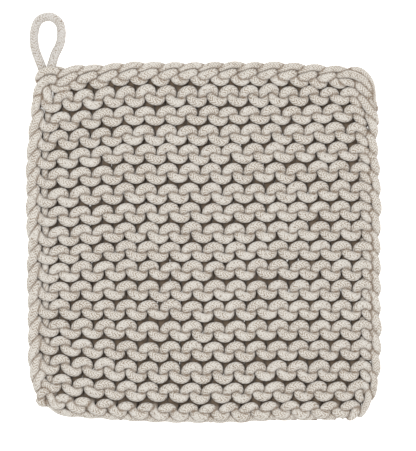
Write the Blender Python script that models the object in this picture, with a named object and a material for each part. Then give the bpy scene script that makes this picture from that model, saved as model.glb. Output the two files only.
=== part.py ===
"""Knitted pot holder: a garter-stitch square of thick soft cord with a hanging loop at one corner.

The square lies flat with its face up. X runs to the right along the ridges, Y from the cast-on edge
to the bound-off edge, Z up from the surface that it rests on. The origin is the middle of the whole
part, loop included, on that surface. Tables are in millimetres, everything else is in metres.
"""

import math
import random

import bmesh
import bpy
from mathutils import Vector

MM = 0.001

# Driving dimensions
STITCHES = 15  # across each ridge
THICKNESS = 12.4 * MM  # crest to crest: two layers of arcs and the legs between them
BOUND_OFF_TOP = 87.5 * MM  # the highest point of the bound-off edge, from the origin
BOUND_OFF_DEEP = 12.4 * MM  # the chain along the top, down to the first ridge
CORD = 4.4 * MM  # the cord where it is not squeezed by its neighbours
SEAT_GAP = 0.3 * MM  # left between the loop's ends and the square

# How deep each ridge is, from the bound-off edge down (the hand of the knitter shows in them)
RIDGE_DEEP_MM = (12.4, 10.1, 11.3, 10.7, 11.3, 11.3, 10.7, 11.3, 10.1, 11.3, 11.3, 11.3, 11.8, 11.3, 12.4,
                 10.7, 11.0)
RIDGES = len(RIDGE_DEEP_MM)
BODY_LONG = BOUND_OFF_DEEP + sum(RIDGE_DEEP_MM) * MM

# Columns of a side's table: how far down from the bound-off edge, and the edge's place across
LEFT_SIDE_MM = (
    (2.8, -93.8),
    (14.6, -95.5),
    (23.7, -97.2),
    (41.7, -98.3),
    (59.7, -99.4),
    (113.8, -99.6),
    (131.8, -98.9),
    (149.9, -98.2),
    (167.9, -98.3),
    (179.0, -97.0),
    (185.9, -94.9),
    (192.7, -91.9),
)
RIGHT_SIDE_MM = (
    (4.5, 91.9),
    (10.1, 94.9),
    (14.6, 96.6),
    (41.7, 98.3),
    (59.7, 99.4),
    (150.0, 99.8),
    (167.9, 98.9),
    (176.9, 98.0),
    (185.9, 96.6),
    (189.8, 94.9),
    (193.2, 93.0),
)
# Columns of an end's table: the place across, and how far down from the bound-off edge
TOP_END_MM = (
    (-93.8, 2.8),
    (-74.1, 2.0),
    (-56.1, 1.3),
    (-44.0, 0.2),
    (-24.5, 0.0),
    (38.6, 0.0),
    (56.6, 1.1),
    (76.9, 2.2),
    (85.9, 3.1),
    (91.9, 4.5),
)
BOTTOM_END_MM = (
    (-91.9, 192.7),
    (-87.6, 195.2),
    (-83.1, 197.3),
    (-75.2, 199.0),
    (-51.6, 200.9),
    (-24.5, 202.4),
    (20.6, 202.5),
    (34.1, 201.5),
    (61.1, 201.1),
    (79.2, 200.6),
    (87.0, 199.0),
    (90.4, 196.6),
    (93.0, 193.2),
)

# The loop's centre line, from its left foot round to its right foot: across, up from the origin, and
# height above the surface. Its feet stand straight on the bound-off edge
LOOP_FEET_MM = (-90.2, -84.9)
FOOT_STRAIGHT_MM = 1.8
FOOT_HEIGHT_MM = 6.2
LOOP_ROUTE_MM = (
    (-92.2, 91.0, 5.6),
    (-94.7, 96.3, 4.2),
    (-95.5, 101.6, 3.0),
    (-94.1, 107.3, 2.5),
    (-90.9, 111.3, 2.4),
    (-87.0, 112.7, 2.4),
    (-83.3, 110.9, 2.4),
    (-80.7, 106.4, 2.6),
    (-80.2, 101.2, 3.1),
    (-81.4, 95.6, 4.3),
    (-83.6, 90.4, 5.6),
)
LOOP_POINTS = 30  # on the loop's tube

# One ridge of the face, line by line: the line's place in the ridge, its height, how deep the notches
# between its arcs are, where along a stitch they fall, and how far an arc's feet bend into the ridge.
# A plain line, with no arcs on it, has half the points of the others
FACE_LINES = (
    {"place": 0.00, "height": 7.6 * MM, "notch": 0.0 * MM, "notch_at": 0.0, "bend": 0.00, "plain": True},
    {"place": 0.27, "height": THICKNESS, "notch": 3.4 * MM, "notch_at": 0.0, "bend": 0.13, "plain": False},
    {"place": 0.50, "height": 10.2 * MM, "notch": 0.0 * MM, "notch_at": 0.0, "bend": 0.00, "plain": True},
    {"place": 0.73, "height": THICKNESS, "notch": 3.2 * MM, "notch_at": 0.5, "bend": -0.13, "plain": False},
)
# The back's ridges lie half a ridge lower. Their crests are pressed flat by the surface they rest on
BACK_SHIFT = 0.5
BACK_LINES = (
    {"place": 0.00, "height": 3.8 * MM, "notch": 0.0 * MM, "notch_at": 0.0, "bend": 0.00},
    {"place": 0.27, "height": 0.0 * MM, "notch": -1.6 * MM, "notch_at": 0.0, "bend": 0.00},
    {"place": 0.73, "height": 0.0 * MM, "notch": 0.0 * MM, "notch_at": 0.5, "bend": 0.00},
)
# The bound-off chain on the face: two rows of links with a groove between them. Place is counted in
# parts of the chain's depth above the first ridge
CHAIN_LINES = (
    {"place": -1.00, "height": 8.6 * MM, "notch": 0.0 * MM, "notch_at": 0.0},
    {"place": -0.77, "height": 11.4 * MM, "notch": 1.4 * MM, "notch_at": 0.1},
    {"place": -0.56, "height": 10.2 * MM, "notch": 0.6 * MM, "notch_at": 0.4},
    {"place": -0.30, "height": 12.2 * MM, "notch": 2.0 * MM, "notch_at": 0.6},
)
BACK_CHAIN_LINES = (
    {"place": -1.00, "height": 3.8 * MM, "notch": 0.0 * MM, "notch_at": 0.0},
    {"place": -0.75, "height": 0.6 * MM, "notch": -0.8 * MM, "notch_at": 0.0},
)
RIM_HIGH = 8.6 * MM  # the rim's wall stands between these two heights
RIM_LOW = 3.8 * MM
CHAIN_HIGH = 11.2 * MM  # crest of the chain along each side, on the face
CHAIN_LOW = 0.9 * MM  # and on the back
CHAIN_NOTCH = 1.5 * MM  # between two links of a side chain
SIDE_CHAIN = 0.020  # the crest's place, as a share of the width
FIRST_STITCH = 0.0567  # the first stitch begins here, as a share of the width
STITCH_SHARE = 0.0645  # and each is this wide, getting a little narrower to the right
NARROWING = 0.00023
SCALLOP = 0.7 * MM  # how far the edge draws in between two links
UNEVEN = 0.1 * MM  # how far a stitch stands higher or lower than its neighbours
CORD_COLOUR = (0.68, 0.60, 0.48, 1.0)
LOOP_COLOUR = (0.72, 0.65, 0.54, 1.0)


def smooth_along(table, at):
    """The value at a place in a two-column table, on a smooth curve through its rows."""
    last = len(table) - 1
    i = 0
    while i < last - 1 and at > table[i + 1][0]:
        i += 1
    x0, y0 = table[i]
    x1, y1 = table[i + 1]
    xa, ya = table[max(i - 1, 0)]
    xb, yb = table[min(i + 2, last)]
    step = x1 - x0
    slope0 = (y1 - ya) / (x1 - xa) * step
    slope1 = (yb - y0) / (xb - x0) * step
    t = min(max((at - x0) / step, 0.0), 1.0)
    t2, t3 = t * t, t * t * t
    return (
        (2 * t3 - 3 * t2 + 1) * y0 + (t3 - 2 * t2 + t) * slope0 + (3 * t2 - 2 * t3) * y1 + (t3 - t2) * slope1
    )


def side_point(table, share):
    """A point on the left or right side, by its share of the way down."""
    down = table[0][0] + share * (table[-1][0] - table[0][0])
    return Vector((smooth_along(table, down), down))


def end_point(table, share):
    """A point on the top or bottom end, by its share of the way across."""
    across = table[0][0] + share * (table[-1][0] - table[0][0])
    return Vector((across, smooth_along(table, across)))


def on_square(across, down):
    """A place in the square, as shares of its width and length, on a patch blended from its four edges."""
    left, right = side_point(LEFT_SIDE_MM, down), side_point(RIGHT_SIDE_MM, down)
    top, bottom = end_point(TOP_END_MM, across), end_point(BOTTOM_END_MM, across)
    top_left, top_right = end_point(TOP_END_MM, 0.0), end_point(TOP_END_MM, 1.0)
    low_left, low_right = end_point(BOTTOM_END_MM, 0.0), end_point(BOTTOM_END_MM, 1.0)
    corners = (top_left * (1 - across) + top_right * across) * (1 - down)
    corners += (low_left * (1 - across) + low_right * across) * down
    place = top * (1 - down) + bottom * down + left * (1 - across) + right * across - corners
    return Vector((place.x * MM, BOUND_OFF_TOP - place.y * MM))


def ridge_line(ridge):
    """How far down a place counted in ridges lies, as a share of the length. -1 is the bound-off edge."""
    if ridge <= 0.0:
        return (1.0 + ridge) * BOUND_OFF_DEEP / BODY_LONG
    whole = min(int(ridge), RIDGES - 1)
    deep = sum(RIDGE_DEEP_MM[:whole]) + (ridge - whole) * RIDGE_DEEP_MM[whole]
    return (BOUND_OFF_DEEP + deep * MM) / BODY_LONG


def stitch_column(stitch):
    """Where a place counted in stitches lies, as a share of the width."""
    return FIRST_STITCH + STITCH_SHARE * stitch - NARROWING * stitch * stitch


def lean(across, down):
    """The columns lean a little to the left at the top and the bottom of the square."""
    inside = math.sin(math.pi * across)
    return across - inside * (0.018 * math.exp(-down / 0.12) + 0.010 * math.exp(-(1 - down) / 0.08))


def notch_profile(stitch, notch_at):
    """1 at the notch between two arcs and 0 at the crest of an arc."""
    return math.cos(math.pi * (stitch - notch_at)) ** 2


def columns(per_stitch):
    """The grid's lines across the square: (kind, place counted in stitches)."""
    lines = [("left edge", 0.0), ("left chain", 0.0)]
    lines += [("stitch", i / per_stitch) for i in range(STITCHES * per_stitch + 1)]
    return lines + [("right chain", 0.0), ("right edge", 0.0)]


def face_rows():
    """The grid's lines down the face: (ridge place, the line's row of a table)."""
    rows = [(line["place"], line) for line in CHAIN_LINES]
    rows += [(ridge + line["place"], line) for ridge in range(RIDGES) for line in FACE_LINES]
    return rows + [(float(RIDGES), CHAIN_LINES[0])]


def back_rows():
    """The same for the back, whose ridges are half a ridge lower, with half a ridge at each end."""
    rows = [(line["place"], line) for line in BACK_CHAIN_LINES]
    for ridge in range(-1, RIDGES):
        rows += [(ridge + BACK_SHIFT + line["place"], line) for line in BACK_LINES]
    rows = [row for row in rows if row[0] < RIDGES - 0.1]
    return rows + [(float(RIDGES), BACK_CHAIN_LINES[0])]


def side_height(kind, ridge, low):
    """Height of the edge and of the chain along a side. A link reaches from valley to valley."""
    if kind.endswith("edge"):
        return RIM_LOW if low else RIM_HIGH
    between_links = math.cos(math.pi * ridge) ** 2
    crest, notch = (CHAIN_LOW, -CHAIN_NOTCH) if low else (CHAIN_HIGH, CHAIN_NOTCH)
    return crest - notch * between_links


def grid_point(column, row, low, rough):
    """The point where a column meets a row of one face."""
    kind, stitch = column
    ridge, line = row
    at_end = ridge in (-1.0, float(RIDGES))
    notch = notch_profile(stitch, line["notch_at"]) if kind == "stitch" else 0.0
    down = ridge_line(ridge + line.get("bend", 0.0) * notch)
    across = {
        "left edge": 0.0,
        "left chain": SIDE_CHAIN,
        "stitch": stitch_column(stitch),
        "right chain": 1.0 - 0.6 * SIDE_CHAIN,
        "right edge": 1.0,
    }[kind]
    place = on_square(lean(across, down), down)
    if kind.endswith("edge"):
        inward = 1.0 if kind.startswith("left") else -1.0
        place.x += inward * SCALLOP * math.cos(math.pi * ridge) ** 2
    if at_end:
        inward = -1.0 if ridge < 0 else 1.0
        place.y += inward * SCALLOP * notch_profile(stitch, 0.5)
        height = RIM_LOW if low else RIM_HIGH
    elif kind == "stitch":
        height = line["height"] - line["notch"] * notch**2
        height += 0.0 if low else rough.uniform(-UNEVEN, UNEVEN) - UNEVEN
    else:
        height = side_height(kind, ridge, low)
    return Vector((place.x, place.y, height))


def knitted_face(mesh, column_lines, row_lines, low, rough):
    """One face of the square: a grid whose points are moved onto the stitches. Returns its vertices."""
    across, down = len(column_lines) - 1, len(row_lines) - 1
    grid = bmesh.ops.create_grid(mesh, x_segments=across, y_segments=down, size=1.0)["verts"]
    at = {}
    for vert in sorted(grid, key=lambda v: (round(v.co.y, 5), round(v.co.x, 5))):
        column = round((vert.co.x + 1) / 2 * across)
        row = round((1 - vert.co.y) / 2 * down)
        vert.co = grid_point(column_lines[column], row_lines[row], low, rough)
        at[column, row] = vert
    thinned = {}
    for (column, row), vert in at.items():
        kind, stitch = column_lines[column]
        if row_lines[row][1].get("plain") and kind == "stitch" and stitch % 0.5:
            thinned[vert] = at[column - 1, row]
    bmesh.ops.weld_verts(mesh, targetmap=thinned)
    return [vert for vert in grid if vert.is_valid]


def rim_edges(verts):
    """The open edges round a grid."""
    found = {edge for vert in verts for edge in vert.link_edges}
    return [edge for edge in found if edge.is_boundary]


def knit_square():
    """The whole knitted square, one closed solid: face, back and the rim between them."""
    mesh = bmesh.new()
    rough = random.Random(7)
    face = knitted_face(mesh, columns(4), face_rows(), False, rough)
    back = knitted_face(mesh, columns(2), back_rows(), True, rough)
    bmesh.ops.bridge_loops(mesh, edges=rim_edges(face) + rim_edges(back))
    bmesh.ops.triangulate(mesh, faces=mesh.faces, quad_method="SHORT_EDGE")
    bmesh.ops.recalc_face_normals(mesh, faces=mesh.faces)
    data = bpy.data.meshes.new("knit_square")
    mesh.to_mesh(data)
    mesh.free()
    data.shade_smooth()
    return bpy.data.objects.new("knit_square", data)


def smooth_route(route, count):
    """Points spread evenly over a smooth curve (Catmull-Rom) through a route's points."""
    points = [Vector(p) * MM for p in route]
    dense = []
    for i in range(len(points) - 1):
        a = points[max(i - 1, 0)]
        b, c = points[i], points[i + 1]
        d = points[min(i + 2, len(points) - 1)]
        for step in range(12):
            t = step / 12
            dense.append(
                0.5 * (2 * b + (c - a) * t + (2 * a - 5 * b + 4 * c - d) * t**2 + (3 * b - a - 3 * c + d) * t**3)
            )
    dense.append(points[-1])
    run = [0.0]
    for before, after in zip(dense, dense[1:]):
        run.append(run[-1] + (after - before).length)
    spread, at = [], 0
    for i in range(count):
        want = run[-1] * i / (count - 1)
        while at < len(run) - 2 and run[at + 1] < want:
            at += 1
        share = (want - run[at]) / (run[at + 1] - run[at])
        spread.append(dense[at].lerp(dense[at + 1], share))
    return spread


def loop_foot(across):
    """The two lowest points of the loop at one foot, a small gap above the bound-off edge."""
    reach = CORD / 2 / MM
    edge = min(smooth_along(TOP_END_MM, across - reach), smooth_along(TOP_END_MM, across + reach))
    up = (BOUND_OFF_TOP + SEAT_GAP) / MM - edge
    return [(across, up, FOOT_HEIGHT_MM), (across, up + FOOT_STRAIGHT_MM, FOOT_HEIGHT_MM)]


def hanging_loop():
    """The loop: a round cord whose two feet stand against the bound-off edge."""
    curve = bpy.data.curves.new("hanging_loop", "CURVE")
    curve.dimensions = "3D"
    curve.bevel_depth = CORD / 2
    curve.bevel_resolution = 3
    curve.use_fill_caps = True
    spline = curve.splines.new("POLY")
    left, right = (loop_foot(across) for across in LOOP_FEET_MM)
    points = smooth_route([*left, *LOOP_ROUTE_MM, *reversed(right)], LOOP_POINTS)
    spline.points.add(len(points) - 1)
    for point, place in zip(spline.points, points):
        point.co = (*place, 1.0)
    tube = bpy.data.objects.new("hanging_loop", curve)
    weld = tube.modifiers.new("Weld caps", "WELD")
    weld.merge_threshold = 0.00005
    return tube


def cotton(name, colour):
    """Soft cotton cord: matt, with no metal in it."""
    material = bpy.data.materials.new(name)
    material.use_nodes = True
    shader = material.node_tree.nodes["Principled BSDF"]
    shader.inputs["Base Color"].default_value = colour
    shader.inputs["Roughness"].default_value = 0.9
    shader.inputs["Metallic"].default_value = 0.0
    material.diffuse_color = colour
    return material


def build():
    for old in list(bpy.data.objects):
        bpy.data.objects.remove(old)
    parts = bpy.data.collections.new("pot_holder")
    bpy.context.scene.collection.children.link(parts)
    square = knit_square()
    square.data.materials.append(cotton("knitted cord", CORD_COLOUR))
    loop = hanging_loop()
    loop.data.materials.append(cotton("loop cord", LOOP_COLOUR))
    for piece in (square, loop):
        parts.objects.link(piece)


build()
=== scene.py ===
# Knitted pot holder: the knitted rows, the chains round their edges and the hanging loop, made round the
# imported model. +X along the ridges, +Y to the bound-off edge, +Z out of the face. The scene is in metres,
# the tables and the cords are in millimetres until they become meshes.
import math

import bpy
import numpy as np
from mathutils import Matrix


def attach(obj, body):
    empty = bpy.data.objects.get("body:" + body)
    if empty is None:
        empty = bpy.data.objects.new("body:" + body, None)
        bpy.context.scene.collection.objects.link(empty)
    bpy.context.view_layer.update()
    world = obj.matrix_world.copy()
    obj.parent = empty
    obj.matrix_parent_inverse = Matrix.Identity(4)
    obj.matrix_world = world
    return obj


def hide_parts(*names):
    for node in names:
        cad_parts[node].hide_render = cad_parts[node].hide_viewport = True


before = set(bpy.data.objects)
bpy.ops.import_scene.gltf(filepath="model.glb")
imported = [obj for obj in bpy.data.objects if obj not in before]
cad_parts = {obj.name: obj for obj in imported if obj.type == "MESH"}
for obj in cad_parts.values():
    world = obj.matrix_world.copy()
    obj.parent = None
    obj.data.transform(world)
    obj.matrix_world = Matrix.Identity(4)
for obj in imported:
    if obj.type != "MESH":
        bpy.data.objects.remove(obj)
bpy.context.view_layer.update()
mm = 0.001
turn = 2 * math.pi
dice = np.random.default_rng(11)

square = {
    "stitches": 15,
    "thick": 12.4,  # crest to crest
    "boundOffTop": 87.5,  # the bound-off edge, up from the origin
    "boundOffDeep": 12.4,  # the chain along the top, down to the first ridge
    "ridgesDeep": (12.4, 10.1, 11.3, 10.7, 11.3, 11.3, 10.7, 11.3, 10.1, 11.3, 11.3, 11.3, 11.8, 11.3, 12.4,
                   10.7, 11.0),
    # down from the bound-off edge, across
    "leftSide": ((2.8, -93.8), (14.6, -95.5), (23.7, -97.6), (41.7, -98.8), (59.7, -100.0), (80.0, -100.0),
                 (90.0, -99.8), (104.0, -99.1), (115.0, -99.5), (131.8, -99.5), (149.9, -98.9),
                 (160.0, -98.5), (170.0, -98.7), (179.0, -97.1), (185.9, -94.9), (192.7, -91.9)),
    "rightSide": ((4.5, 91.9), (10.1, 94.9), (14.6, 96.3), (24.0, 96.5), (41.7, 97.7), (56.0, 98.0),
                  (72.0, 99.0), (110.0, 99.1), (145.0, 99.3), (155.0, 99.4), (167.9, 98.9), (176.9, 98.0),
                  (185.9, 96.6), (189.8, 94.9), (193.2, 93.0)),
    # across, down from the bound-off edge
    "topEnd": ((-93.8, 2.8), (-74.1, 2.0), (-56.1, 1.3), (-44.0, 0.2), (-24.5, 0.0), (38.6, 0.0),
               (56.6, 1.1), (76.9, 2.2), (85.9, 3.1), (91.9, 4.5)),
    "bottomEnd": ((-95.0, 198.0), (-83.1, 198.6), (-75.2, 199.4), (-51.6, 200.9), (-24.5, 202.4),
                  (20.6, 202.5), (34.1, 201.5), (61.1, 201.1), (79.2, 200.6), (95.0, 199.6)),
    # ridge, how much lower than a straight line its left and its right end lie
    "leftSag": ((-1.0, 0.0), (0.0, 1.2), (3.0, 2.1), (5.5, 1.7), (8.0, 2.5), (10.0, 2.2), (12.0, 0.7),
                (13.0, -0.3), (15.0, -2.0), (17.0, -2.6)),
    "rightSag": ((-1.0, 0.0), (0.0, -0.4), (1.0, -2.8), (3.0, -2.7), (5.0, -2.7), (8.0, -1.4), (10.0, 0.0),
                 (14.0, 0.3), (16.0, 0.3), (17.0, 0.0)),
    # across, share of that sag
    "leftShare": ((-99.4, 1.3), (-80.3, 1.0), (-65.0, 0.5), (-49.9, 0.2), (-20.0, 0.03), (0.0, 0.0)),
    "rightShare": ((0.0, 0.0), (25.0, 0.05), (47.0, 0.2), (65.0, 0.7), (78.0, 1.0), (91.8, 1.0),
                   (99.8, 0.95)),
    "leftColumn": -80.3, "rightColumn": 78.0,  # where the side chains take their heights from
    # ridge, where the second stitch begins and where the last but one ends
    "secondStitch": ((-1.0, -70.6), (-0.4, -71.0), (0.33, -73.2), (1.3, -74.7), (2.3, -76.0), (5.3, -75.9),
                     (7.3, -75.7), (9.7, -75.1), (12.3, -75.0), (14.3, -74.5), (16.4, -73.3),
                     (17.0, -72.5)),
    "lastButOne": ((-1.0, 74.3), (-0.4, 74.8), (0.33, 76.4), (1.3, 78.3), (2.3, 79.6), (3.4, 81.7),
                   (5.3, 82.5), (8.3, 83.6), (10.0, 83.7), (12.3, 83.3), (14.3, 82.6), (15.3, 81.3),
                   (16.4, 76.4), (17.0, 76.2)),
    # ridge, how much wider the stitches are on the left
    "crowding": ((-1.0, 0.028), (1.0, 0.02), (4.0, 0.026), (8.0, 0.04), (11.0, 0.045), (14.0, 0.034),
                 (17.0, 0.028)),
}
ridges = len(square["ridgesDeep"])
middle = square["thick"] / 2


def smoothAlong(table, at):
    # cubic through a two-column table: each span leaves and arrives with the slope between its neighbours
    x, y = np.array(table).T
    last = len(x) - 1
    i = np.clip(np.searchsorted(x, at, side="right") - 1, 0, last - 1)
    before, after = np.maximum(i - 1, 0), np.minimum(i + 2, last)
    step = x[i + 1] - x[i]
    slopeIn = (y[i + 1] - y[before]) / (x[i + 1] - x[before]) * step
    slopeOut = (y[after] - y[i]) / (x[after] - x[i]) * step
    t = np.clip((at - x[i]) / step, 0.0, 1.0)
    return ((2 * t**3 - 3 * t**2 + 1) * y[i] + (t**3 - 2 * t**2 + t) * slopeIn
            + (3 * t**2 - 2 * t**3) * y[i + 1] + (t**3 - t**2) * slopeOut)


def smoothStep(values, low, high):
    # 0 below low, 1 above high, and between them a cubic that is level at both
    share = np.clip((values - low) / (high - low), 0, 1)
    return share * share * (3 - 2 * share)


def ridgeShare(ridge):
    # how far down a place counted in ridges lies, as a share of the length; -1 is the bound-off edge
    deeps = np.cumsum([0.0, square["boundOffDeep"], *square["ridgesDeep"]])
    knots = np.concatenate([[-2.0], np.arange(-1.0, ridges + 1), [ridges + 1.0]])
    places = np.concatenate([[-square["boundOffDeep"]], deeps, [2 * deeps[-1] - deeps[-2]]])
    return np.interp(ridge, knots, places) / deeps[-1]


def ridgeDown(across, ridge):
    # how far below the bound-off edge a ridge's line runs: between the two ends, and sagging at its sides
    share = ridgeShare(ridge)
    down = ((1 - share) * smoothAlong(square["topEnd"], across)
            + share * smoothAlong(square["bottomEnd"], across))
    down = down + smoothAlong(square["leftSag"], ridge) * smoothAlong(square["leftShare"], across)
    return down + smoothAlong(square["rightSag"], ridge) * smoothAlong(square["rightShare"], across)


def fabricPlace(stitch, ridge):
    # across and up from the origin of a place counted in stitches and ridges: evenly spaced between the
    # second stitch and the last but one, but for the crowding, a parabola that is 0 at both
    first, last = smoothAlong(square["secondStitch"], ridge), smoothAlong(square["lastButOne"], ridge)
    share = (stitch - 1) / (square["stitches"] - 2)
    share = share + smoothAlong(square["crowding"], ridge) * np.clip(share, 0, 1) * (1 - np.clip(share, 0, 1))
    across = first + share * (last - first)
    return np.stack([across, square["boundOffTop"] - ridgeDown(across, ridge)], -1)


def sidePlace(side, inward, ridge):
    # a place counted in ridges along the left or right side, and inward from it
    left = side == "leftSide"
    column = np.full(np.shape(ridge), square["leftColumn" if left else "rightColumn"])
    down = ridgeDown(column, ridge)
    across = smoothAlong(square[side], down) + (inward if left else -inward)
    return np.stack([across, square["boundOffTop"] - down], -1)


cordMake = {
    "sides": 12,
    "spacing": 1.1,  # from ring to ring of a strand
    "spanSteps": 16,  # fine steps between two control points, before the even spacing
    "guide": (0.31, 0.19, 0.93),  # a direction that the loop never runs in
    "capRings": 3,
    "capOpen": 0.35,  # the last of them lies this part of a step short of the pole
    "capReach": 0.8,  # how far a cap stands out, in half sizes
    "floor": 0.0,  # cords are pressed flat on the surface below
    "startMost": 50.0,  # the threads of a cord are counted from a random place, up to here
}


def unit(vectors):
    # each vector over its own length
    return vectors / np.maximum(np.linalg.norm(vectors, axis=-1, keepdims=True), 1e-9)


def smoothPath(points, spacing):
    # Catmull-Rom curve through the control points (any number of columns), resampled at an even spacing
    points = np.asarray(points, float)
    ends = np.concatenate([2 * points[:1] - points[1:2], points, 2 * points[-1:] - points[-2:-1]])
    t = np.linspace(0.0, 1.0, cordMake["spanSteps"], endpoint=False)[None, :, None]
    a, b, c, d = (ends[i:len(ends) - 3 + i, None, :] for i in range(4))
    dense = 0.5 * (2 * b + (c - a) * t + (2 * a - 5 * b + 4 * c - d) * t**2 + (3 * b - a - 3 * c + d) * t**3)
    dense = np.concatenate([dense.reshape(-1, points.shape[1]), points[-1:]])
    run = np.concatenate([[0.0], np.cumsum(np.linalg.norm(np.diff(dense[:, :3], axis=0), axis=1))])
    even = np.linspace(0.0, run[-1], max(int(run[-1] / spacing), 4) + 1)
    return np.stack([np.interp(even, run, column) for column in dense.T], -1)


def crossings(path, flatFrame):
    # two directions square to the path: for the knit, one lies in the fabric; otherwise the pair is
    # carried along without turning about the path (the turn from each ring to the next is summed and undone)
    ahead = unit(np.gradient(path, axis=0))
    guide = np.array((0.0, 0.0, 1.0) if flatFrame else cordMake["guide"])
    side = unit(np.cross(guide, ahead))
    normal = np.cross(ahead, side)
    if flatFrame:
        return side, normal
    carried = unit(side[:-1] - (side[:-1] * ahead[1:]).sum(1, keepdims=True) * ahead[1:])
    turned = np.arctan2((carried * normal[1:]).sum(1), (carried * side[1:]).sum(1))
    angle = np.concatenate([[0.0], np.cumsum(turned)])[:, None]
    return np.cos(angle) * side + np.sin(angle) * normal, np.cos(angle) * normal - np.sin(angle) * side


def cordRings(cord):
    # rings of points round a path: an ellipse in each ring, shrunk to a round cap at both ends
    path, wide, thick = cord["path"], cord["wide"], cord["thick"]
    side, normal = crossings(path, cord.get("flatFrame", False))
    capRings = cordMake["capRings"]
    steps = np.arange(1, capRings + 1) / (capRings + cordMake["capOpen"]) * math.pi / 2
    ahead = unit(np.gradient(path, axis=0))
    reach = cordMake["capReach"] * min(wide[0], thick[0])
    out = (np.sin(steps) * reach)[:, None]
    pinch = np.cos(steps)
    path = np.concatenate([path[:1] - out[::-1] * ahead[:1], path, path[-1:] + out * ahead[-1:]])
    grow = np.concatenate([pinch[::-1], np.ones(len(wide)), pinch])
    pad = (capRings, capRings)
    wide = np.pad(wide, pad, mode="edge") * grow
    thick = np.pad(thick, pad, mode="edge") * grow
    side = np.pad(side, (pad, (0, 0)), mode="edge")
    normal = np.pad(normal, (pad, (0, 0)), mode="edge")
    angle = np.arange(cordMake["sides"]) / cordMake["sides"] * turn
    rings = (path[:, None] + side[:, None] * (wide[:, None] * np.cos(angle))[..., None]
             + normal[:, None] * (thick[:, None] * np.sin(angle))[..., None])
    rings[..., 2] = np.maximum(rings[..., 2], cordMake["floor"])
    return path, rings


def finishCord(cord):
    # works out the rings once, with the centre line, half size and run of each, and how light its points
    # are: in the knit, painted shade makes them dark near the middle of the thickness, light at both crests
    cord["centre"], cord["rings"] = cordRings(cord)
    step = np.linalg.norm(np.diff(cord["centre"], axis=0), axis=1)
    cord["run"] = np.concatenate([[0.0], np.cumsum(step)])
    cord["half"] = np.linalg.norm(cord["rings"] - cord["rings"].mean(1, keepdims=True), axis=2).mean(1)
    cord["light"] = np.ones(cord["rings"].shape[:2])
    # painted shade: the knit's points darken towards the middle of the thickness
    if cord.get("deep"):
        cord["light"] = smoothStep(np.abs(cord["rings"][..., 2] - middle), knit["deepFrom"], knit["deepTo"])
    return cord


# the painted contact shade: points near another cord are darkened as if shaded there
crevice = {
    "block": 14,  # rings looked at together
    "reach": 4.0,  # past a block's box, within which other cords count
    "apart": 9.0,  # run along the same cord before it counts as another
    "none": 9.0,  # the gap where no other cord is that near
    "touch": -0.15, "clear": 0.75,  # gap to the next cord, from the darkest painted shade to none
}


def findCrevices(cords):
    # each ring point's gap to the nearest other stretch of cord (distance to its centre line less its half
    # size), turned into a share of painted shade: 0 where two cords touch and the painted shade is darkest,
    # 1 where the next cord is well away and there is none
    centres = np.concatenate([cord["centre"] for cord in cords])
    halves = np.concatenate([cord["half"] for cord in cords])
    runs = np.concatenate([cord["run"] for cord in cords])
    owners = np.concatenate([np.full(len(cord["run"]), i) for i, cord in enumerate(cords)])
    for i, cord in enumerate(cords):
        rings = cord["rings"]
        gap = np.full(rings.shape[:2], crevice["none"])
        for start in range(0, len(rings), crevice["block"]):
            block = slice(start, start + crevice["block"])
            points = rings[block].reshape(-1, 3)
            low, high = points.min(0) - crevice["reach"], points.max(0) + crevice["reach"]
            near = ((centres > low) & (centres < high)).all(1)
            run = cord["run"][block]
            own = (runs > run.min() - crevice["apart"]) & (runs < run.max() + crevice["apart"])
            near = near & ~((owners == i) & own)
            if near.any():
                away = np.linalg.norm(points[:, None] - centres[near][None], axis=2) - halves[near][None]
                gap[block] = away.min(1).reshape(-1, rings.shape[1])
        cord["clear"] = smoothStep(gap, crevice["touch"], crevice["clear"])


def cornerUvs(*corners):
    # the UVs of many like faces, from each corner's runs and shares of a turn
    return np.stack([np.stack(np.broadcast_arrays(run, share), -1) for run, share in corners], 1)


def cordFaces(cord):
    # the faces of one cord, counted from its own first point, and their UVs: quads between its rings, and
    # two fans of triangles to the poles, which come after the rings' points. A UV counts millimetres along
    # the cord and the share of a turn round it
    sides, count = cordMake["sides"], len(cord["rings"])
    along = cord["run"] + cord.get("from", 0.0)
    i, j = (part.ravel() for part in np.meshgrid(np.arange(count - 1), np.arange(sides), indexing="ij"))
    after = (j + 1) % sides
    quads = np.stack([i * sides + j, i * sides + after, (i + 1) * sides + after, (i + 1) * sides + j], -1)
    quadUv = cornerUvs((along[i], j / sides), (along[i], (j + 1) / sides),
                       (along[i + 1], (j + 1) / sides), (along[i + 1], j / sides))
    k = np.arange(sides)
    after = (k + 1) % sides
    firstPole, lastPole = np.full(sides, count * sides), np.full(sides, count * sides + 1)
    lastRing = (count - 1) * sides
    tris = np.concatenate([np.stack([firstPole, after, k], -1),
                           np.stack([lastPole, lastRing + k, lastRing + after], -1)])
    here, on = k / sides, (k + 1) / sides
    triUv = np.concatenate([cornerUvs((along[0], here), (along[0], on), (along[0], here)),
                            cornerUvs((along[-1], here), (along[-1], here), (along[-1], on))])
    return quads, tris, quadUv, triUv


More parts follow.
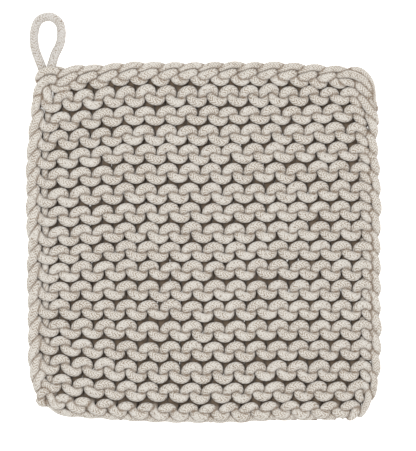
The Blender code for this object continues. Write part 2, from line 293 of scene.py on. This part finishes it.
def cordPiece(name, cords, material):
    # many cords as one mesh, with how clear of other cords and how light each point is: the shares that set
    # their painted contact shade and painted deep shade
    verts, quads, tris, quadUvs, triUvs = [], [], [], [], []
    shares = {"clear": [], "light": []}
    start = 0
    for cord in cords:
        rings = cord["rings"]
        cordQuads, cordTris, quadUv, triUv = cordFaces(cord)
        quads.append(start + cordQuads)
        tris.append(start + cordTris)
        quadUvs.append(quadUv.reshape(-1, 2))
        triUvs.append(triUv.reshape(-1, 2))
        verts += [rings.reshape(-1, 3), np.stack([rings[0].mean(0), rings[-1].mean(0)])]
        for key, parts in shares.items():
            parts += [cord[key].ravel(), cord[key][[0, -1]].mean(1)]
        start += rings.shape[0] * rings.shape[1] + 2
    quads, tris = np.concatenate(quads), np.concatenate(tris)
    mesh = bpy.data.meshes.new(name)
    mesh.from_pydata(np.concatenate(verts) * mm, [], quads.tolist() + tris.tolist())
    uv = np.concatenate(quadUvs + triUvs)
    mesh.uv_layers.new(name="cordRun").data.foreach_set("uv", uv.ravel().astype(np.float32))
    for key, parts in shares.items():
        layer = mesh.attributes.new(key, "FLOAT", "POINT")
        layer.data.foreach_set("value", np.concatenate(parts).astype(np.float32))
    mesh.polygons.foreach_set("use_smooth", np.ones(len(mesh.polygons), bool))
    mesh.materials.append(material)
    mesh.validate()
    mesh.update()
    piece = bpy.data.objects.new(name, mesh)
    bpy.context.scene.collection.objects.link(piece)
    print(name, "cords", len(cords), "triangles", 2 * len(quads) + len(tris))
    return piece


class Socket:
    # a node's output that can be reckoned with: an expression on values adds its Math nodes
    def __init__(self, tree, link=None):
        self.tree = tree
        self.link = link

    def add(self, kind, settings=None, output=0, **sockets):
        # any node: its settings are set first, then its sockets' values or links (a name, or in0, in1 ...)
        node = self.tree.nodes.new(kind)
        for key, value in (settings or {}).items():
            setattr(node, key, value)
        for key, value in sockets.items():
            entry = node.inputs[int(key[2:])] if key[:2] == "in" and key[2:].isdigit() else node.inputs[key]
            if isinstance(value, Socket):
                self.tree.links.new(value.link, entry)
            else:
                entry.default_value = value
        return Socket(self.tree, node.outputs[output])

    def math(self, operation, *values):
        named = {"in%d" % i: value for i, value in enumerate(values)}
        return self.add("ShaderNodeMath", {"operation": operation}, **named)

    def __add__(self, other):
        return self.math("ADD", self, other)

    def __sub__(self, other):
        return self.math("SUBTRACT", self, other)

    def __rsub__(self, other):
        return self.math("SUBTRACT", other, self)

    def __mul__(self, other):
        return self.math("MULTIPLY", self, other)

    def __truediv__(self, other):
        return self.math("DIVIDE", self, other)

    def __pow__(self, other):
        return self.math("POWER", self, other)

    __radd__ = __add__
    __rmul__ = __mul__

    def fraction(self):
        return self.math("FRACT", self)

    def absolute(self):
        return self.math("ABSOLUTE", self)

    def sine(self):
        return self.math("SINE", self)

    def mixed(self, low, high):
        # from one colour to the other as this value goes from 0 to 1
        return self.add("ShaderNodeMix", {"data_type": "RGBA"}, output=2, in0=self, in6=low, in7=high)

    def between(self, low, high):
        # 0 below low, 1 above high, smooth between them
        return self.add("ShaderNodeMapRange", {"interpolation_type": "SMOOTHSTEP"},
                        Value=self, **{"From Min": low, "From Max": high})


cotton = {
    "light": (0.574, 0.547, 0.502, 1.0),
    "shadow": (0.285, 0.224, 0.165, 1.0),  # between the threads
    "line": (0.168, 0.114, 0.071, 1.0),  # painted shade where two cords touch
    "deep": (0.136, 0.097, 0.064, 1.0),  # painted shade far down between the stitches, where little light reaches
    "fleck": (0.200, 0.148, 0.100, 1.0),
    "columns": 5,  # of small V stitches round the cord
    "stitchLong": 1.45,
    "slant": 1.05,  # how far the legs of a V run along the cord, in stitches
    "threads": 0.88,  # how strongly they show
    "threadsLeast": 0.5, "threadsMore": 0.7,  # times this, and so much more in patches
    "lightness": 0.93,  # the mean, from all shadow at 0 to all light at 1
    # how far apart in the tint's noise lie the two legs of a V, the ends of a leg and two columns
    "legsApart": 4.3, "legEndsApart": 0.7, "columnsApart": 3.1,
    # noises: their sockets, and how strongly they push up and down
    "wobble": ({"Scale": 300.0, "Detail": 2.0}, 0.5),  # the threads, along the cord, in stitches
    "tint": ({"Scale": 1.5, "Detail": 1.0}, 1.7),  # each thread's own shade
    "mottle": ({"Scale": 950.0, "Detail": 1.0, "Roughness": 0.6}, 1.4),
    "broad": ({"Scale": 60.0, "Detail": 2.0}, 0.5),
    # noises: their sockets, and the values between which they go from none to all
    "patches": ({"Scale": 150.0, "Detail": 1.0}, (0.36, 0.62)),
    "spots": ({"Scale": 620.0, "Detail": 1.0}, (0.60, 0.68)),
    "fleckMost": 0.55, "fleckLess": 0.35,  # how much colour a fleck has, and how much less on a thread
    "threadHigh": 0.4, "ribHigh": 0.3,  # what they add to the bump's height
    "bumpStrength": 0.7, "bumpDistance": 0.00025,
    "roughness": 0.92, "specular": 0.15, "sheen": 0.25, "sheenRoughness": 0.6,
}
# the loop's own cream, a lighter painted shade where it touches other cords, and longer threads
loopLook = {**cotton, "light": (0.54, 0.519, 0.493, 1.0), "line": (0.42, 0.37, 0.31, 1.0),
            "stitchLong": 1.65, "slant": 0.9, "threads": 0.68}


def cottonCord(name, look):
    # a knitted cotton cord: columns of small V stitches round it, light cream with brown specks. Its threads
    # are the sine of the run along it, shifted by the distance from the V's middle
    material = bpy.data.materials.new(name)
    material.use_nodes = True
    tree = material.node_tree
    shader = tree.nodes["Principled BSDF"]
    for entry, key in (("Roughness", "roughness"), ("Specular IOR Level", "specular"),
                       ("Sheen Weight", "sheen"), ("Sheen Roughness", "sheenRoughness")):
        shader.inputs[entry].default_value = look[key]
    start = Socket(tree)

    def noise(key, at):
        # the noise of that row of the table
        return start.add("ShaderNodeTexNoise", Vector=at, **look[key][0])

    def upAndDown(key, at):
        # the same less its mean, times its strength
        return (noise(key, at) - 0.5) * look[key][1]

    run = start.add("ShaderNodeUVMap", {"uv_map": "cordRun"})
    along = start.add("ShaderNodeSeparateXYZ", in0=run)
    around = Socket(tree, along.link.node.outputs[1])
    place = start.add("ShaderNodeTexCoord", output=3)
    turned = around * look["columns"]
    column = turned.fraction()
    leg = ((column - 0.5) * 2.0).absolute()
    stroke = along / look["stitchLong"] + leg * look["slant"] + upAndDown("wobble", place)
    thread = (stroke * turn).sine()
    rib = ((column * (2 * turn)).sine()).absolute() ** 0.5
    patch = noise("patches", place).between(*look["patches"][1])
    # each thread has a shade of its own, the same along its length
    which = column.math("GREATER_THAN", column, 0.5) * look["legsApart"] + leg * look["legEndsApart"]
    threadPlace = start.add("ShaderNodeCombineXYZ", in0=stroke, in1=which,
                            in2=(turned - column) * look["columnsApart"])
    lightness = (thread * (patch * look["threadsMore"] + look["threadsLeast"]) * look["threads"]
                 + upAndDown("tint", threadPlace) + upAndDown("mottle", place) + upAndDown("broad", place)
                 + look["lightness"])
    base = lightness.mixed(look["shadow"], look["light"])
    spots = noise("spots", place).between(*look["spots"][1])
    base = (spots * (look["fleckMost"] - thread * look["fleckLess"])).mixed(base, look["fleck"])
    # painted shade: the contact-shade colour by the clear share, then the deep-shade colour by the light
    # share
    clear = start.add("ShaderNodeAttribute", {"attribute_name": "clear"}, output=2)
    base = clear.mixed(look["line"], base)
    light = start.add("ShaderNodeAttribute", {"attribute_name": "light"}, output=2)
    base = light.mixed(look["deep"], base)
    tree.links.new(base.link, shader.inputs["Base Color"])
    relief = thread * look["threadHigh"] + rib * look["ribHigh"]
    bump = start.add("ShaderNodeBump", Strength=look["bumpStrength"], Distance=look["bumpDistance"],
                     Height=relief)
    tree.links.new(bump.link, shader.inputs["Normal"])
    return material


knitCotton = cottonCord("knitted cotton cord", cotton)
loopCotton = cottonCord("loop cotton cord", loopLook)
print("cotton done")


view = {
    "centre": (2.5, -4.6),  # under the middle of the picture
    "tall": 254.1,  # of the crests' plane from the picture's top to its bottom
    "crests": 9.5,  # the height at which that is measured
    "far": 2600.0,
    "sensor": 36.0,
    "clip": 20000.0,  # nothing past this is seen
}


def photoCamera():
    # straight above, with the lens that shows that much at the height of the crests
    camera = bpy.data.cameras.new("photoCamera")
    camera.sensor_width = view["sensor"]
    camera.lens = view["sensor"] * (view["far"] - view["crests"]) / view["tall"]
    camera.clip_end = view["clip"] * mm
    holder = bpy.data.objects.new("photoCamera", camera)
    holder.location = (view["centre"][0] * mm, view["centre"][1] * mm, view["far"] * mm)
    bpy.context.scene.collection.objects.link(holder)
    bpy.context.scene.camera = holder


# in metres and watts
studio = {
    "sky": 0.75,
    "lamps": (
        {"name": "topLamp", "at": (-0.35, 0.45, 1.5), "size": 1.3, "power": 15.5},
        {"name": "sideLamp", "at": (0.9, -0.5, 1.3), "size": 1.2, "power": 8.0},
    ),
    "floorColour": (0.93, 0.93, 0.92, 1.0),
    "floorGlow": 0.6,
    "floorRoughness": 0.9, "floorSpecular": 0.1,
    "floorSize": 4.0,
    "floorAt": -0.0002,  # just clear of the cords
}


def studioLight():
    # an even white sky and round lamps, each turned to face the origin
    world = bpy.data.worlds.new("studio")
    bpy.context.scene.world = world
    world.use_nodes = True
    backdrop = world.node_tree.nodes["Background"]
    backdrop.inputs["Color"].default_value = (1.0, 1.0, 1.0, 1.0)
    backdrop.inputs["Strength"].default_value = studio["sky"]
    for lamp in studio["lamps"]:
        data = bpy.data.lights.new(lamp["name"], "AREA")
        data.shape = "DISK"
        data.size = lamp["size"]
        data.energy = lamp["power"]
        holder = bpy.data.objects.new(lamp["name"], data)
        holder.location = lamp["at"]
        x, y, z = lamp["at"]
        holder.rotation_euler = (math.atan2(math.hypot(x, y), z), 0.0, math.atan2(x, -y))
        bpy.context.scene.collection.objects.link(holder)


def paleFloor():
    # a large level square that glows a little
    half = studio["floorSize"] / 2
    corner = [(-half, -half, 0), (half, -half, 0), (half, half, 0), (-half, half, 0)]
    mesh = bpy.data.meshes.new("floor")
    mesh.from_pydata(corner, [], [(0, 1, 2, 3)])
    material = bpy.data.materials.new("pale floor")
    material.use_nodes = True
    shader = material.node_tree.nodes["Principled BSDF"]
    for entry, key in (("Base Color", "floorColour"), ("Roughness", "floorRoughness"),
                       ("Specular IOR Level", "floorSpecular"), ("Emission Color", "floorColour"),
                       ("Emission Strength", "floorGlow")):
        shader.inputs[entry].default_value = studio[key]
    mesh.materials.append(material)
    floor = bpy.data.objects.new("floor", mesh)
    floor.location.z = studio["floorAt"]
    bpy.context.scene.collection.objects.link(floor)


bpy.context.scene.view_settings.view_transform = "Standard"
photoCamera()
studioLight()
paleFloor()
print("camera and light done")


hangingLoop = {
    "thick": 5.15,
    # across, up from the origin, height
    "route": ((-89.4, 80.0, 5.0), (-91.1, 84.3, 6.2), (-92.4, 87.7, 6.1), (-94.15, 92.1, 5.2),
              (-95.4, 96.4, 4.2), (-95.8, 102.9, 3.1), (-94.5, 109.0, 2.8), (-92.1, 112.0, 2.7),
              (-87.8, 113.4, 2.7), (-84.0, 112.3, 2.7), (-81.1, 109.1, 2.8), (-80.25, 104.3, 3.0),
              (-80.65, 99.7, 3.5), (-81.7, 96.4, 4.3), (-83.8, 92.1, 5.4), (-85.15, 87.7, 6.1),
              (-85.9, 84.6, 6.2), (-86.5, 79.4, 5.0)),
}


def loopCord():
    # from one foot under the bound-off edge, round the eye and back to the other
    path = smoothPath(hangingLoop["route"], cordMake["spacing"])
    radius = np.full(len(path), hangingLoop["thick"] / 2)
    return {"path": path, "wide": radius, "thick": radius}


def makeHangingLoop(cord):
    # the loop's piece, made of its one cord
    piece = cordPiece("hangingLoop", [cord], loopCotton)
    path = cord["path"]
    centres = [tuple(point) for point in path * mm]
    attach(piece, "root")
    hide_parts("hanging_loop")


knit = {
    "pitch": 12.25,  # one stitch across
    "rowPitch": 5.57,  # half a ridge
    "loopHigh": 12.1,  # head's line to sinker's line
    "bulge": 1.9,  # how far a loop swells past its neck
    "shift": 0.35,  # how far aside the heads lie from the sinkers, each way
    "skew": 0.4,  # how much higher one side of a swell lies
    "out": 3.4,  # how far heads and sinkers stand out of the middle
    "dive": 0.35,  # how much further in the right end of an arc goes
    "wide": 2.6,  # half size of the cord across
    "arcThick": 2.15, "legThick": 1.9,  # and through, in an arc and in a leg
    "arcPower": 0.7,  # under 1 gives more of a stitch to its arcs
    "samples": 28,  # rings a stitch
    "tailSamples": 14,  # more rings for the two tails
    "tail": 1.5,  # how far the row runs on past its first and last sinker, in radians of a stitch
    "reach": 4.5, "tailOut": 0.6,  # how far a radian of the left tail reaches and stands out
    "endReach": 0.4, "endFall": 0.8, "endOut": 2.4,  # and of the right one, and how far that falls
    # by the face that a row's heads are on: how much its left tail rises; where it begins to fall at its
    # right end, in stitches from it, and how steeply, mm a stitch; how much wider it runs there, mm a stitch,
    # up to how many stitches on; how much thinner it gets there
    "onFace": {"rise": 1.4, "fallFrom": -0.4, "fall": 3.0, "widen": 5.0, "widenMost": 0.22, "thin": 0.0},
    "onBack": {"rise": 3.1, "fallFrom": -0.5, "fall": 2.4, "widen": -1.9, "widenMost": 0.6, "thin": 0.3},
    "thinMost": 0.5,  # up to how many stitches on it gets thinner
    "unevenPlace": 0.28,
    "unevenSize": 0.035,  # of a stitch, or of a strand's cord
    "unevenCord": 0.02,
    "deepFrom": 1.4, "deepTo": 3.8,  # painted deep shade, from dark to light, by the distance from the middle
}
# the kinds of row: whether its heads are on the face, how far below a ridge's top it runs, in ridges, and how
# far along it lies, in stitches. Where it isn't 1, how much of their height the heads rise and the sinkers
# drop, and how much the heads stand out. A row can also begin later or be cut short, in stitches
rowKinds = {
    "heads": {"front": True, "at": 0.79, "along": -0.012},
    "sinkers": {"front": False, "at": 0.29, "along": -0.05},
    "shortHeads": {"front": True, "at": 0.79, "along": -0.012, "cut": 0.06},  # clear of the corner's gap
    "lastHeads": {"front": True, "at": 0.84, "along": -0.012, "sinkerDrop": -0.2, "cut": 0.3},
    "lastSinkers": {"front": False, "at": 0.24, "along": 0.09, "sinkerDrop": 0.93, "reach": 2.6,
                    "cut": 0.45},
    "boundOffHeads": {"front": True, "at": -0.25, "along": -0.012, "headRise": 0.3, "headOut": 0.2,
                      "begin": 0.1},
    "boundOffSinkers": {"front": False, "at": -0.64, "along": 0.04, "headRise": -0.25, "sinkerDrop": 0.97,
                        "headOut": 0.3, "begin": 0.15, "cut": 0.45},
}


def drift(count, samples):
    # a smooth random run: one value a half stitch, joined by a cubic
    knots = dice.normal(size=count * 2 + 4)
    at = np.linspace(1.0, count * 2 + 1.0, samples)
    return smoothAlong(list(enumerate(knots)), at)


def rowCord(ridge, front, at, along, headRise=1.0, sinkerDrop=1.0, headOut=1.0, reach=knit["reach"],
            begin=0.0, cut=0.0):
    # one row as one cord. Round each stitch the angle t goes once from sinker to head and back:
    # across = stitch run + a swell twice a stitch; up = minus cosine; out = cosine, towards the face for the
    # heads of a front row and for the sinkers of a back row. The left tail reaches on towards the side, and
    # the right end falls and goes out
    s = 1.0 if front else -1.0
    ends = knit["onFace" if front else "onBack"]
    count = square["stitches"]
    start = turn * begin - (0.0 if begin else knit["tail"])
    end = turn * (count - cut) + (0.0 if cut else knit["tail"])
    t = np.linspace(start, end, knit["samples"] * count + knit["tailSamples"])
    inner = np.clip(t, 0.0, turn * count)
    cosine, swell = np.cos(inner), np.sin(2 * inner)
    head = cosine < 0
    grow = 1 + knit["unevenSize"] * drift(count, len(t))
    across = knit["pitch"] * inner / turn + knit["bulge"] * swell - s * knit["shift"] * cosine
    up = -knit["loopHigh"] / 2 * cosine * np.where(head, headRise, sinkerDrop) + s * knit["skew"] * swell
    up = up * grow
    out = -s * knit["out"] * cosine * np.where(head, headOut, 1.0) - knit["dive"] * swell
    early, late = np.clip(-t, 0.0, None), np.clip(t - turn * count, 0.0, None)
    ending = np.clip(across / knit["pitch"] - count - ends["fallFrom"], 0.0, None)
    across = (across - reach * early + knit["endReach"] * late
              + ends["widen"] * np.minimum(ending, ends["widenMost"]))
    up = up + ends["rise"] * early**2 - ends["fall"] * ending - knit["endFall"] * late
    out = out + s * (knit["tailOut"] * early**2 + knit["endOut"] * late)
    across = across + knit["unevenPlace"] * drift(count, len(t))
    up = up + knit["unevenPlace"] * drift(count, len(t))
    place = fabricPlace(across / knit["pitch"] + along, ridge + at - up / (2 * knit["rowPitch"]))
    arc = np.abs(cosine) ** knit["arcPower"]
    thin = ends["thin"] * np.minimum(ending, knit["thinMost"])
    size = 1 + knit["unevenCord"] * drift(count, len(t)) - thin
    return {
        "path": np.concatenate([place, (middle + out)[:, None]], 1),
        "wide": knit["wide"] * size,
        "thick": (knit["legThick"] + (knit["arcThick"] - knit["legThick"]) * arc) * size,
        "flatFrame": True,
        # the knitted rows get painted deep shade
        "deep": True,
        "from": dice.uniform(0.0, cordMake["startMost"]),
    }


def ridgeRows(ridge):
    # a ridge of the face is the heads of one row over the sinkers of the next
    lower = {ridges - 2: ("shortHeads", "sinkers"), ridges - 1: ("lastHeads", "lastSinkers")}
    return [rowCord(ridge, **rowKinds[kind]) for kind in lower.get(ridge, ("heads", "sinkers"))]


def strand(route, wide, thick):
    # a short length of cord through places (across, up, height) that dives into the fabric at both ends
    path = smoothPath(route, cordMake["spacing"])
    size = 1 + knit["unevenSize"] * dice.normal()
    return {"path": path, "wide": np.full(len(path), wide * size), "thick": np.full(len(path), thick * size),
            "flatFrame": True, "from": dice.uniform(0.0, cordMake["startMost"])}


def bothFaces(route, wide, thick):
    # a strand, and another by the same route on the other face
    back = [(across, up, square["thick"] - height) for across, up, height in route]
    return [strand(route, wide, thick), strand(back, wide, thick)]


boundOff = {
    # route: stitches on from its own, mm below the edge, height. drift: stitch, how far on the part lies
    "link": {
        "route": ((-0.10, 6.0, 5.5), (0.04, 4.8, 7.6), (0.29, 3.4, 8.9), (0.59, 2.1, 9.2), (0.89, 1.75, 9.0),
                  (1.19, 2.4, 8.0), (1.44, 3.9, 6.4), (1.58, 5.8, 5.0)),
        "drift": ((0, -0.1), (1, -0.08), (4, -0.04), (8, -0.01), (10, 0.04), (12, 0.12), (13, 0.22)),
        "wide": 2.05, "thick": 2.05,
    },
    "bean": {
        "route": ((-0.02, 10.3, 5.5), (0.06, 9.2, 8.3), (0.22, 8.1, 9.8), (0.44, 7.2, 10.0),
                  (0.66, 6.3, 9.8), (0.80, 5.8, 8.6), (0.87, 6.3, 6.0)),
        "drift": ((0, 0.0), (8, 0.0), (12, 0.07), (13, 0.07)),
        "wide": 2.6, "thick": 2.35,
    },
    "numbers": range(1, 14),
    "line": -0.8,  # the place in ridges along which its stitches are counted
    "uneven": 0.12,
}


def boundOffChain():
    # a thin upper link and a slanted bean for each stitch, over the sinkers of the last row
    cords = [rowCord(0, **rowKinds[kind]) for kind in ("boundOffHeads", "boundOffSinkers")]
    for part in (boundOff["link"], boundOff["bean"]):
        stitch, below, height = np.array(part["route"]).T
        for number in boundOff["numbers"]:
            place = number + smoothAlong(part["drift"], number) + stitch
            across = fabricPlace(place, np.full(len(stitch), boundOff["line"]))[:, 0]
            up = square["boundOffTop"] - smoothAlong(square["topEnd"], across) - below
            across = across + boundOff["uneven"] * dice.normal()
            up = up + boundOff["uneven"] * dice.normal()
            cords += bothFaces(list(zip(across, up, height)), part["wide"], part["thick"])
    return cords


sideChains = {
    # route: mm inward from the side, ridges on from its own, height
    "leftSide": {
        "link": {
            "route": ((5.1, 0.04, 6.2), (5.1, 0.13, 8.4), (4.5, 0.42, 9.6), (3.3, 0.72, 9.7), (2.6, 1.0, 9.2),
                      (2.6, 1.25, 8.2), (3.1, 1.5, 7.0), (3.9, 1.65, 6.2)),
            "numbers": range(1, 15), "wide": 2.85, "thick": 2.4,
        },
        "post": {
            "route": ((10.4, 0.0, 5.8), (10.4, 0.2, 7.0), (10.5, 0.38, 7.0), (10.6, 0.6, 5.8)),
            "numbers": range(1, 16), "wide": 2.15, "thick": 2.15,
        },
    },
    "rightSide": {
        "link": {
            "route": ((4.2, 0.50, 5.4), (4.0, 0.60, 7.8), (3.4, 0.80, 9.1), (2.2, 1.10, 9.4),
                      (1.55, 1.38, 9.0), (1.7, 1.58, 8.0), (2.6, 1.75, 6.6), (3.6, 1.90, 5.4)),
            "numbers": range(14), "wide": 2.45, "thick": 2.3,
        },
        "post": {
            "route": ((9.0, 0.0, 5.8), (9.0, 0.2, 6.6), (9.0, 0.38, 6.6), (9.0, 0.6, 5.8)),
            "numbers": range(1, 16), "wide": 2.15, "thick": 2.15,
        },
    },
    "unevenInward": 0.2, "unevenRidge": 0.02,
}


def sideChain(side):
    # links that climb out to the edge and dive back in, and the upright stitch legs just inside them
    cords = []
    for part in (sideChains[side]["link"], sideChains[side]["post"]):
        inward, ridge, height = np.array(part["route"]).T
        for number in part["numbers"]:
            place = sidePlace(side, inward + sideChains["unevenInward"] * dice.normal(),
                              number + ridge + sideChains["unevenRidge"] * dice.normal())
            cords += bothFaces(list(zip(place[:, 0], place[:, 1], height)), part["wide"], part["thick"])
    return cords


# each corner strand's half size and its places: across, up from the origin, height
corners = {
    "topLeftOuter": (2.35, ((-92.4, 76.8, 5.2), (-92.7, 78.6, 7.4), (-91.2, 81.0, 9.0), (-88.2, 82.5, 9.5),
                            (-84.8, 82.7, 9.2), (-81.7, 81.6, 7.5), (-79.7, 79.6, 5.0))),
    "topLeftSlanted": (2.6, ((-83.4, 75.9, 5.5), (-84.0, 77.2, 8.3), (-85.9, 77.9, 9.6), (-88.3, 77.3, 9.7),
                             (-90.7, 75.3, 9.6), (-92.6, 72.6, 9.3), (-93.4, 69.7, 8.6), (-93.8, 66.5, 7.2),
                             (-93.4, 63.5, 6.0))),
    "topLeftPost": (2.8, ((-89.8, 74.6, 5.5), (-89.2, 73.1, 7.8), (-88.6, 70.5, 9.0), (-88.0, 67.3, 9.0),
                          (-87.5, 63.8, 7.4), (-87.4, 61.6, 5.5))),
    "topLeftTuck": (1.8, ((-84.9, 80.6, 5.6), (-83.8, 82.6, 7.0), (-81.8, 83.3, 7.8), (-79.8, 82.7, 7.4),
                          (-78.4, 81.2, 5.6))),
    "topLeftFirstLink": (2.6, ((-92.4, 70.6, 5.8), (-92.6, 69.4, 8.0), (-93.3, 67.0, 9.2),
                               (-94.3, 64.0, 9.5), (-94.9, 61.0, 9.2), (-94.9, 58.2, 8.2),
                               (-94.3, 55.6, 7.0), (-93.3, 54.0, 6.0))),
    "topLeftBean": (2.6, ((-82.3, 73.9, 5.8), (-81.5, 75.1, 8.4), (-78.9, 76.4, 10.0), (-75.6, 78.2, 10.1),
                          (-73.0, 79.9, 8.9), (-71.7, 79.6, 6.0))),
    "topLeftLink": (2.1, ((-83.4, 78.0, 5.5), (-82.1, 78.9, 7.6), (-79.5, 80.7, 8.9), (-76.3, 82.3, 9.2),
                          (-73.1, 83.5, 9.0), (-69.9, 83.9, 8.2), (-67.2, 83.2, 6.8), (-65.8, 81.6, 5.0))),
    "topLeftSinker": (2.1, ((-86.5, 75.8, 5.2), (-85.9, 74.2, 7.4), (-83.9, 72.6, 8.6), (-81.2, 71.8, 9.2),
                            (-78.3, 72.3, 9.2), (-76.5, 73.7, 8.2), (-75.8, 75.3, 6.0))),
    "topRightOuter": (2.35, ((79.4, 79.8, 4.5), (82.6, 82.0, 6.0), (85.4, 82.8, 7.0), (87.8, 82.4, 7.6),
                             (89.9, 81.1, 7.8), (92.2, 78.8, 7.8), (93.7, 76.1, 7.8), (94.5, 73.5, 7.8),
                             (94.8, 70.5, 7.8), (95.0, 67.3, 7.6), (95.5, 64.0, 7.2), (96.2, 61.0, 6.0))),
    "topRightSecond": (2.35, ((74.1, 77.9, 5.0), (76.1, 79.6, 7.8), (79.8, 80.4, 9.4), (83.0, 80.4, 9.8),
                              (86.3, 79.4, 9.8), (89.3, 77.7, 9.6), (91.7, 75.2, 9.2), (93.4, 72.0, 8.6),
                              (94.5, 68.3, 7.4), (94.7, 65.0, 5.8))),
    "topRightLow": (2.2, ((74.6, 74.8, 5.6), (75.8, 75.9, 8.8), (79.4, 76.2, 10.1), (82.0, 76.0, 10.0),
                          (84.1, 74.9, 8.4), (85.6, 73.0, 5.4))),
    "topRightSlantUpper": (2.5, ((85.1, 76.8, 5.0), (86.5, 75.0, 7.8), (88.4, 73.3, 9.2), (90.8, 71.0, 9.4),
                                 (93.0, 68.5, 8.6), (94.4, 65.5, 6.8))),
    "topRightSlantLower": (2.55, ((87.3, 69.2, 5.4), (88.7, 67.2, 8.6), (90.6, 64.7, 10.0),
                                  (92.8, 61.8, 10.2), (94.6, 59.1, 9.8), (96.0, 56.3, 8.6),
                                  (96.4, 53.7, 6.4))),
    "bottomLeftSide": (2.6, ((-88.8, -85.0, 5.4), (-90.5, -87.0, 8.2), (-92.4, -89.8, 9.8),
                             (-93.5, -92.6, 9.6), (-93.4, -95.3, 8.4), (-92.4, -97.6, 6.2))),
    "bottomLeftLump": (2.5, ((-84.6, -99.2, 5.4), (-86.5, -97.9, 8.2), (-89.0, -97.6, 9.6),
                             (-91.2, -98.8, 9.4), (-91.8, -100.6, 8.2), (-91.4, -102.0, 6.0))),
    "bottomLeftBump": (2.3, ((-89.8, -100.6, 5.6), (-91.3, -101.9, 7.6), (-92.2, -103.6, 8.0),
                             (-91.0, -104.5, 7.4), (-88.8, -104.2, 5.6))),
    "bottomRightSide": (2.0, ((93.2, -85.7, 5.2), (94.5, -87.3, 7.8), (95.9, -90.3, 9.2), (96.2, -93.5, 9.2),
                              (95.8, -96.7, 8.6), (95.2, -99.4, 7.2), (94.1, -101.5, 5.2))),
    "bottomRightLong": (2.15, ((91.6, -95.6, 5.4), (92.8, -97.8, 7.8), (92.9, -101.0, 9.0),
                               (92.1, -104.3, 9.0), (90.8, -107.2, 8.6), (89.2, -109.8, 7.8),
                               (88.0, -111.0, 6.8))),
    "bottomRightOval": (2.3, ((85.8, -105.2, 5.2), (85.9, -106.8, 7.6), (85.8, -108.7, 9.2),
                              (84.9, -110.5, 9.0), (83.6, -111.8, 7.6), (82.4, -112.3, 6.4))),
}


def cornerStrands():
    # the strands of all corners, on both faces
    return [cord for half, route in corners.values() for cord in bothFaces(route, half, half)]


castOn = {
    # its places at the left corner, then where it runs straight from and to
    "corner": ((-87.6, -103.6, 4.8), (-86.2, -105.4, 5.4), (-83.7, -107.5, 5.6), (-81.0, -109.1, 5.6),
               (-77.5, -110.1, 5.5)),
    "from": -74.0, "to": 76.0, "step": 2.0,
    "inside": 1.6,  # its centre line, up from the bottom edge
    "wave": 0.35, "waveLong": 12.2,
    "half": 2.1,
    "height": 5.4,
}


def castOnCord():
    # the first row of the work, seen behind the last sinkers: along the bottom edge, waving once a stitch
    across = np.arange(castOn["from"], castOn["to"], castOn["step"])
    up = square["boundOffTop"] - smoothAlong(square["bottomEnd"], across) + castOn["inside"]
    up = up + castOn["wave"] * np.sin(across * turn / castOn["waveLong"])
    route = list(castOn["corner"]) + list(zip(across, up, np.full(len(across), castOn["height"])))
    return bothFaces(route, castOn["half"], castOn["half"])


bands = {"knitUpper": range(0, 6), "knitMiddle": range(6, 12), "knitLower": range(12, ridges)}
pieces = {"hangingLoop": [loopCord()]}
for name, band in bands.items():
    pieces[name] = [cord for ridge in band for cord in ridgeRows(ridge)]
pieces["boundOffChain"] = boundOffChain()
pieces["leftChain"] = sideChain("leftSide")
pieces["rightChain"] = sideChain("rightSide")
pieces["cornerStrands"] = cornerStrands() + castOnCord()
everyCord = [finishCord(cord) for cords in pieces.values() for cord in cords]
findCrevices(everyCord)
print("crevices found")
for name, cords in pieces.items():
    if name == "hangingLoop":
        makeHangingLoop(cords[0])
        continue
    piece = cordPiece(name, cords, knitCotton)
    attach(piece, "root")
    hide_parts("knit_square")
